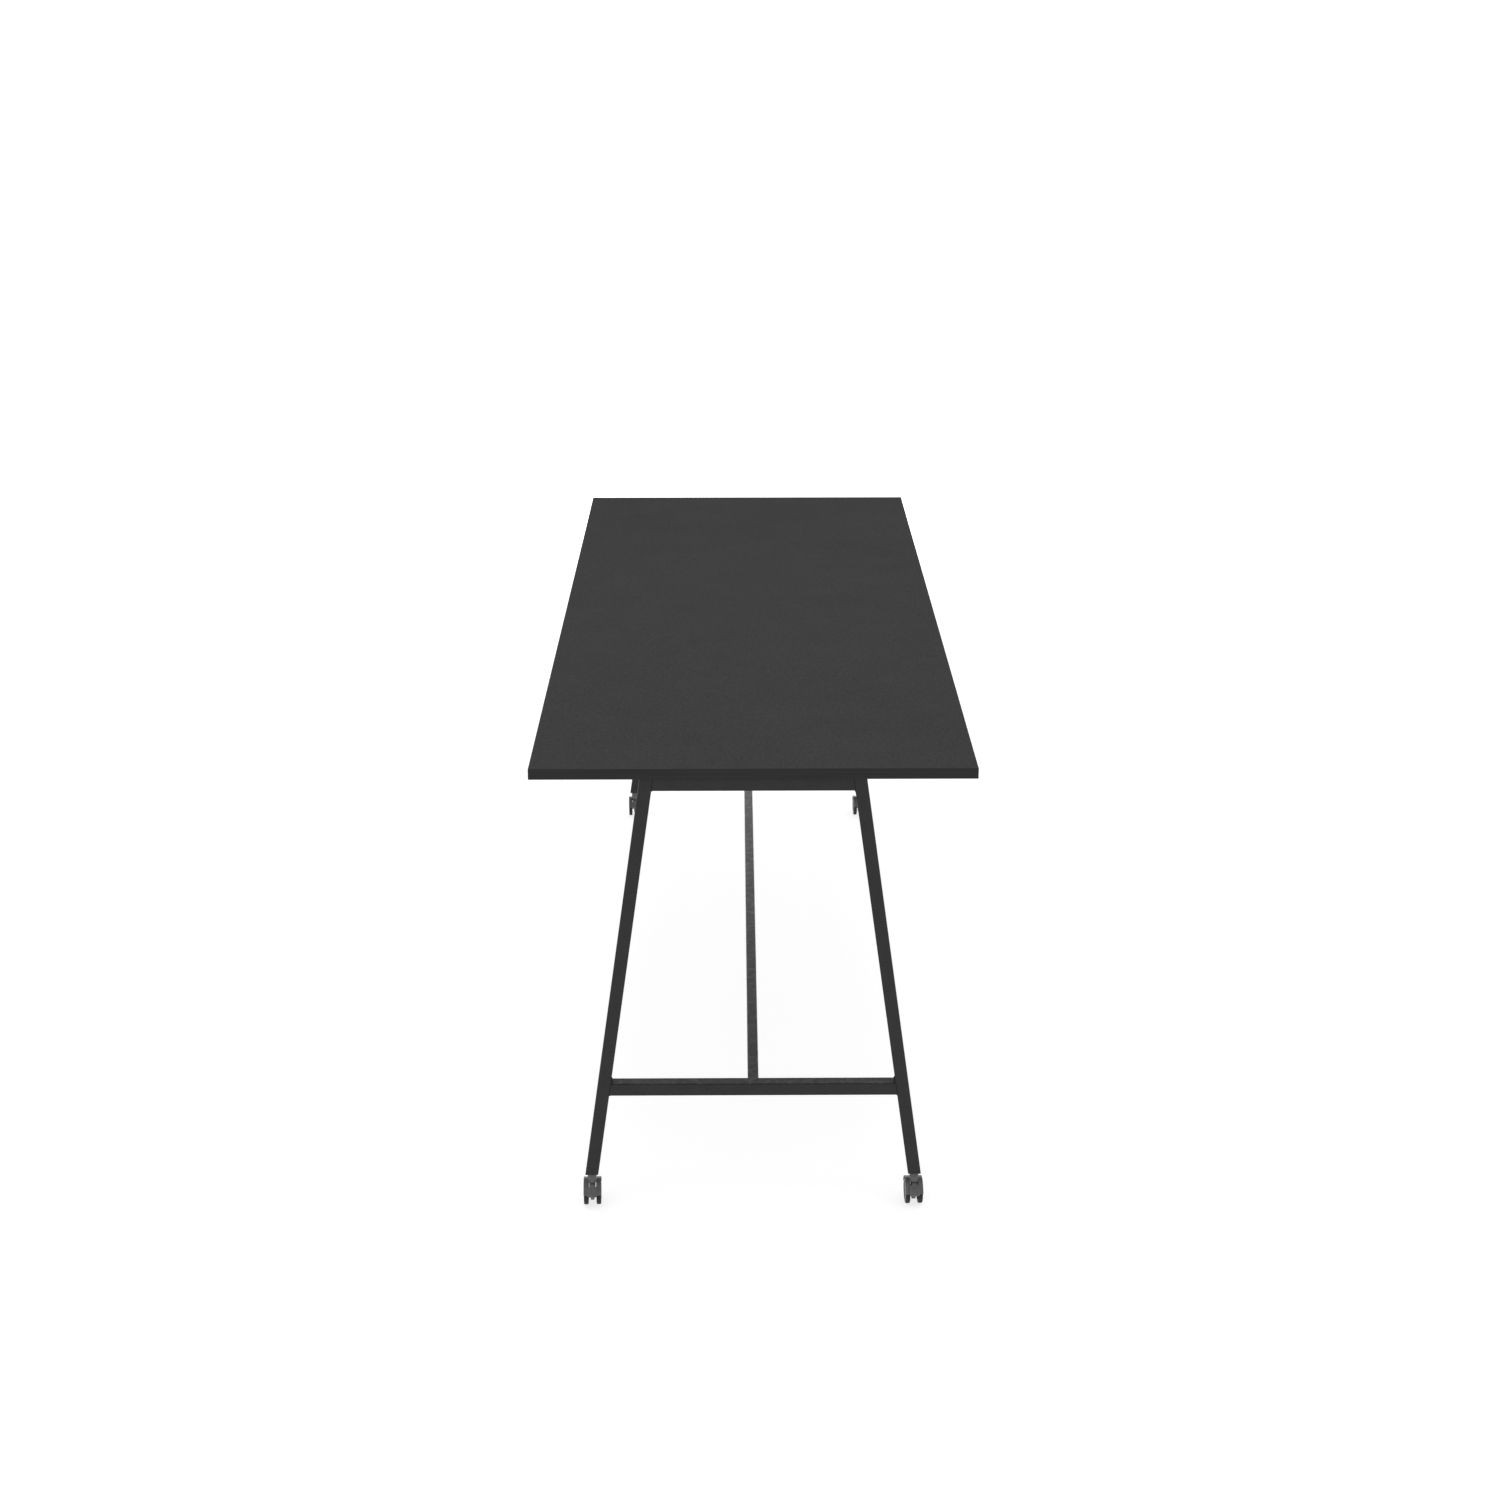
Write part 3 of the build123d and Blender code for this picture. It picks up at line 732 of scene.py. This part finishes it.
# Leg plugs: steel blocks pressed into the legs' feet, tapped for the castors' stems. Stems, axles and
# clips are steel too. All are electroplated with zinc, a cool grey metal with a cloudy gloss.
zinc_finish, tree, shader = new_material(
    "zinc-plated steel",
    "#9a9c9e",
    {"Metallic": 1.0, "Roughness": 0.36},
)
place = add(tree, "ShaderNodeTexCoord").outputs["Object"]
spangle_size = 0.004
spangle = add(tree, "ShaderNodeTexNoise", {"Scale": 1 / spangle_size, "Detail": 4.0}, {"Vector": place})
colour = add(tree, "ShaderNodeValToRGB", {}, {"Fac": spangle.outputs["Fac"]})
colour.color_ramp.elements[0].color = linear("#8a8c8f")
colour.color_ramp.elements[1].color = linear("#a8aaac")
tree.links.new(colour.outputs["Color"], shader.inputs["Base Color"])
gloss = add(tree, "ShaderNodeMapRange", {"To Min": 0.28, "To Max": 0.46}, {"Value": spangle.outputs["Fac"]})
tree.links.new(gloss.outputs["Result"], shader.inputs["Roughness"])
corners = [f"{end}_{side}" for end in ends for side in sides]
finish(["leg_plugs", "castor_stem_clips"], zinc_finish)
finish([f"{corner}_castor_{piece}" for corner in corners for piece in ("stem", "axle")], zinc_finish)

# Castor hoods and brake pedals: injection-moulded nylon in a mid grey, from a finely spark-eroded mould.
# A hood is one piece with its stem boss and the web between the wheels. A collar of the same nylon closes
# the gap to the leg. They are satin, with paler scuffs where shoes and kerbs have touched them.
nylon_finish, tree, shader = new_material(
    "spark-textured moulded nylon",
    "#606061",
    {"Roughness": 0.48, "IOR": 1.45, "Specular IOR Level": 0.4},
)
place = add(tree, "ShaderNodeTexCoord").outputs["Object"]
# The eroded texture is about 0.1 mm, and is drawn at 0.8 mm so that it shows
spark_size = 0.0008
spark = add(tree, "ShaderNodeTexNoise", {"Scale": 1 / spark_size, "Detail": 2.0}, {"Vector": place})
flow_size = 0.018
flow = add(tree, "ShaderNodeTexNoise", {"Scale": 1 / flow_size, "Detail": 4.0}, {"Vector": place})
scuff_size = 0.006
scuffs = add(
    tree,
    "ShaderNodeTexNoise",
    {"Scale": 1 / scuff_size, "Detail": 6.0, "Roughness": 0.75},
    {"Vector": place},
)
grain = add(
    tree,
    "ShaderNodeMix",
    {"Factor": 0.5},
    {"A": flow.outputs["Fac"], "B": spark.outputs["Fac"]},
    data_type="FLOAT",
)
colour = add(tree, "ShaderNodeValToRGB", {}, {"Fac": grain.outputs["Result"]})
colour.color_ramp.elements[0].position = 0.38
colour.color_ramp.elements[0].color = linear("#5a5a5b")
colour.color_ramp.elements[1].position = 0.62
colour.color_ramp.elements[1].color = linear("#676768")
scuffed = add(
    tree,
    "ShaderNodeMapRange",
    {"From Min": 0.62, "From Max": 0.72, "To Max": 0.5},
    {"Value": scuffs.outputs["Fac"]},
)
colour = add(
    tree,
    "ShaderNodeMix",
    {"B": linear("#7a7a7b")},
    {"Factor": scuffed.outputs["Result"], "A": colour.outputs["Color"]},
    data_type="RGBA",
)
tree.links.new(colour.outputs["Result"], shader.inputs["Base Color"])
gloss = add(tree, "ShaderNodeMapRange", {"To Min": 0.4, "To Max": 0.56}, {"Value": flow.outputs["Fac"]})
tree.links.new(gloss.outputs["Result"], shader.inputs["Roughness"])
relief = add(tree, "ShaderNodeBump", {"Strength": 0.6, "Distance": 0.0002}, {"Height": spark.outputs["Fac"]})
tree.links.new(relief.outputs["Normal"], shader.inputs["Normal"])
finish(["castor_collars"], nylon_finish)
finish([f"{corner}_castor_{piece}" for corner in corners for piece in ("hood", "brake_pedal")], nylon_finish)

# Pedal ribs: five small rounded ribs moulded across each brake pedal, so that a shoe doesn't slip off it.
# They are of the pedal's own nylon, and lie round the axle on the pedal's outer face.
rib_tree, rib_in, rib_out = node_group(
    "pedal ribs",
    {
        "Hub": ("NodeSocketVector", None),
        "Turn": ("NodeSocketFloat", 0.0),
        "Pedal Radius": ("NodeSocketFloat", 0.037),
        "First Angle": ("NodeSocketFloat", math.radians(15)),
        "Angle Step": ("NodeSocketFloat", math.radians(6)),
        "Count": ("NodeSocketInt", 5),
        "Rib Radius": ("NodeSocketFloat", 0.0006),
        "Rib Length": ("NodeSocketFloat", 0.015),
        "Finish": ("NodeSocketMaterial", None),
    },
)
rows = add(rib_tree, "GeometryNodeMeshLine", {}, {"Count": rib_in.outputs["Count"]})
row = add(rib_tree, "GeometryNodeInputIndex")
climb = add(
    rib_tree,
    "ShaderNodeMath",
    {},
    {0: row.outputs["Index"], 1: rib_in.outputs["Angle Step"], 2: rib_in.outputs["First Angle"]},
    operation="MULTIPLY_ADD",
)
across = add(rib_tree, "ShaderNodeMath", {}, {0: climb.outputs["Value"]}, operation="COSINE")
forward = add(rib_tree, "ShaderNodeMath", {1: -1.0}, {0: across.outputs["Value"]}, operation="MULTIPLY")
upright = add(rib_tree, "ShaderNodeMath", {}, {0: climb.outputs["Value"]}, operation="SINE")
direction = add(
    rib_tree,
    "ShaderNodeCombineXYZ",
    {},
    {"Y": forward.outputs["Value"], "Z": upright.outputs["Value"]},
)
spot = add(
    rib_tree,
    "ShaderNodeVectorMath",
    {},
    {0: direction.outputs["Vector"], "Scale": rib_in.outputs["Pedal Radius"]},
    operation="SCALE",
)
spread = add(
    rib_tree,
    "GeometryNodeSetPosition",
    {},
    {"Geometry": rows.outputs["Mesh"], "Position": spot.outputs["Vector"]},
)
bar = add(
    rib_tree,
    "GeometryNodeMeshCylinder",
    {"Vertices": 12},
    {"Radius": rib_in.outputs["Rib Radius"], "Depth": rib_in.outputs["Rib Length"]},
)
rounded = add(
    rib_tree,
    "GeometryNodeSetShadeSmooth",
    {},
    {"Geometry": bar.outputs["Mesh"], "Selection": bar.outputs["Side"]},
)
moulded = add(
    rib_tree,
    "GeometryNodeInstanceOnPoints",
    {"Rotation": (0.0, math.pi / 2, 0.0)},
    {"Points": spread.outputs["Geometry"], "Instance": rounded.outputs["Geometry"]},
)
solid = add(rib_tree, "GeometryNodeRealizeInstances", {}, {"Geometry": moulded.outputs["Instances"]})
facing_way = add(rib_tree, "ShaderNodeCombineXYZ", {}, {"Z": rib_in.outputs["Turn"]})
placed = add(
    rib_tree,
    "GeometryNodeTransform",
    {},
    {
        "Geometry": solid.outputs["Geometry"],
        "Translation": rib_in.outputs["Hub"],
        "Rotation": facing_way.outputs["Vector"],
    },
)
coloured = add(
    rib_tree,
    "GeometryNodeSetMaterial",
    {},
    {"Geometry": placed.outputs["Geometry"], "Material": rib_in.outputs["Finish"]},
)
rib_tree.links.new(coloured.outputs["Geometry"], rib_out.inputs["Geometry"])

# The middle of each castor's axle, and how far the castor is turned, from its tyres' boxes
castor_hubs = {}
for corner in corners:
    middles = []
    for side in sides:
        low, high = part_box(f"{corner}_castor_tyre_{side}")
        middles.append((Vector(low) + Vector(high)) / 2)
    axle_line = middles[1] - middles[0]
    castor_hubs[corner] = ((middles[0] + middles[1]) / 2, math.atan2(axle_line.y, axle_line.x))
for corner, (hub, turn) in castor_hubs.items():
    ribs = grown(
        f"{corner}_castor_pedal_ribs",
        bpy.data.meshes.new("pedal_rib_start"),
        rib_tree,
        {"Hub": hub, "Turn": turn, "Finish": nylon_finish},
    )
    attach(ribs, f"{corner}_brake")

# Castor wheels: a moulded nylon disc with a blind hub, and a soft polyurethane tread bonded round it.
# The disc is a darker, satin grey with faint flow rings round its hub. The tread is cast, near black and
# dull, and carries a little pale floor dust on its running face.


def round_axle(tree, hub, turn):
    """A place measured from the castor's axle, with X along it, and the distance from the axle."""
    place = add(tree, "ShaderNodeTexCoord").outputs["Object"]
    centred = add(
        tree,
        "ShaderNodeMapping",
        {"Location": hub, "Rotation": (0.0, 0.0, turn)},
        {"Vector": place},
        vector_type="TEXTURE",
    )
    parts = add(tree, "ShaderNodeSeparateXYZ", {}, {"Vector": centred.outputs["Vector"]})
    flat = add(tree, "ShaderNodeCombineXYZ", {}, {"Y": parts.outputs["Y"], "Z": parts.outputs["Z"]})
    reach = add(tree, "ShaderNodeVectorMath", {}, {0: flat.outputs["Vector"]}, operation="LENGTH")
    return centred.outputs["Vector"], reach.outputs["Value"]


ring_pitch = 0.0012
grit_size = 0.0015
# Dust starts at the tread's rounded shoulder and is at its thickest just under the running face
shoulder_depth = 0.0015
face_depth = 0.0001
for corner, (hub, turn) in castor_hubs.items():
    disc_finish, tree, shader = new_material(
        f"moulded nylon wheel disc, {corner}",
        "#4a4a4c",
        {"Roughness": 0.45, "IOR": 1.53, "Specular IOR Level": 0.45},
    )
    _, reach = round_axle(tree, hub, turn)
    rings = add(
        tree,
        "ShaderNodeTexNoise",
        {"Scale": 1 / ring_pitch, "Detail": 1.0},
        {"W": reach},
        noise_dimensions="1D",
    )
    colour = add(tree, "ShaderNodeValToRGB", {}, {"Fac": rings.outputs["Fac"]})
    colour.color_ramp.elements[0].color = linear("#454547")
    colour.color_ramp.elements[1].color = linear("#515153")
    tree.links.new(colour.outputs["Color"], shader.inputs["Base Color"])
    gloss = add(tree, "ShaderNodeMapRange", {"To Min": 0.36, "To Max": 0.54}, {"Value": rings.outputs["Fac"]})
    tree.links.new(gloss.outputs["Result"], shader.inputs["Roughness"])
    relief = add(
        tree,
        "ShaderNodeBump",
        {"Strength": 0.25, "Distance": 0.0001},
        {"Height": rings.outputs["Fac"]},
    )
    tree.links.new(relief.outputs["Normal"], shader.inputs["Normal"])
    finish([f"{corner}_castor_wheel_{side}" for side in sides], disc_finish)

    tread_finish, tree, shader = new_material(
        f"cast polyurethane tread, {corner}",
        "#161617",
        {"Roughness": 0.62, "IOR": 1.5, "Specular IOR Level": 0.35},
    )
    place, reach = round_axle(tree, hub, turn)
    grit = add(
        tree,
        "ShaderNodeTexNoise",
        {"Scale": 1 / grit_size, "Detail": 5.0, "Roughness": 0.7},
        {"Vector": place},
    )
    low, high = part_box(f"{corner}_castor_tyre_left")
    tread_radius = (high.z - low.z) / 2
    running = add(
        tree,
        "ShaderNodeMapRange",
        {"From Min": tread_radius - shoulder_depth, "From Max": tread_radius - face_depth},
        {"Value": reach},
    )
    dust = add(
        tree,
        "ShaderNodeMath",
        {},
        {0: running.outputs["Result"], 1: grit.outputs["Fac"]},
        operation="MULTIPLY",
    )
    colour = add(
        tree,
        "ShaderNodeMix",
        {"A": linear("#0f0f10"), "B": linear("#2a2926")},
        {"Factor": dust.outputs["Value"]},
        data_type="RGBA",
    )
    tree.links.new(colour.outputs["Result"], shader.inputs["Base Color"])
    gloss = add(
        tree,
        "ShaderNodeMapRange",
        {"To Min": 0.55, "To Max": 0.82},
        {"Value": dust.outputs["Value"]},
    )
    tree.links.new(gloss.outputs["Result"], shader.inputs["Roughness"])
    relief = add(
        tree,
        "ShaderNodeBump",
        {"Strength": 0.3, "Distance": 0.0002},
        {"Height": grit.outputs["Fac"]},
    )
    tree.links.new(relief.outputs["Normal"], shader.inputs["Normal"])
    finish([f"{corner}_castor_tyre_{side}" for side in sides], tread_finish)
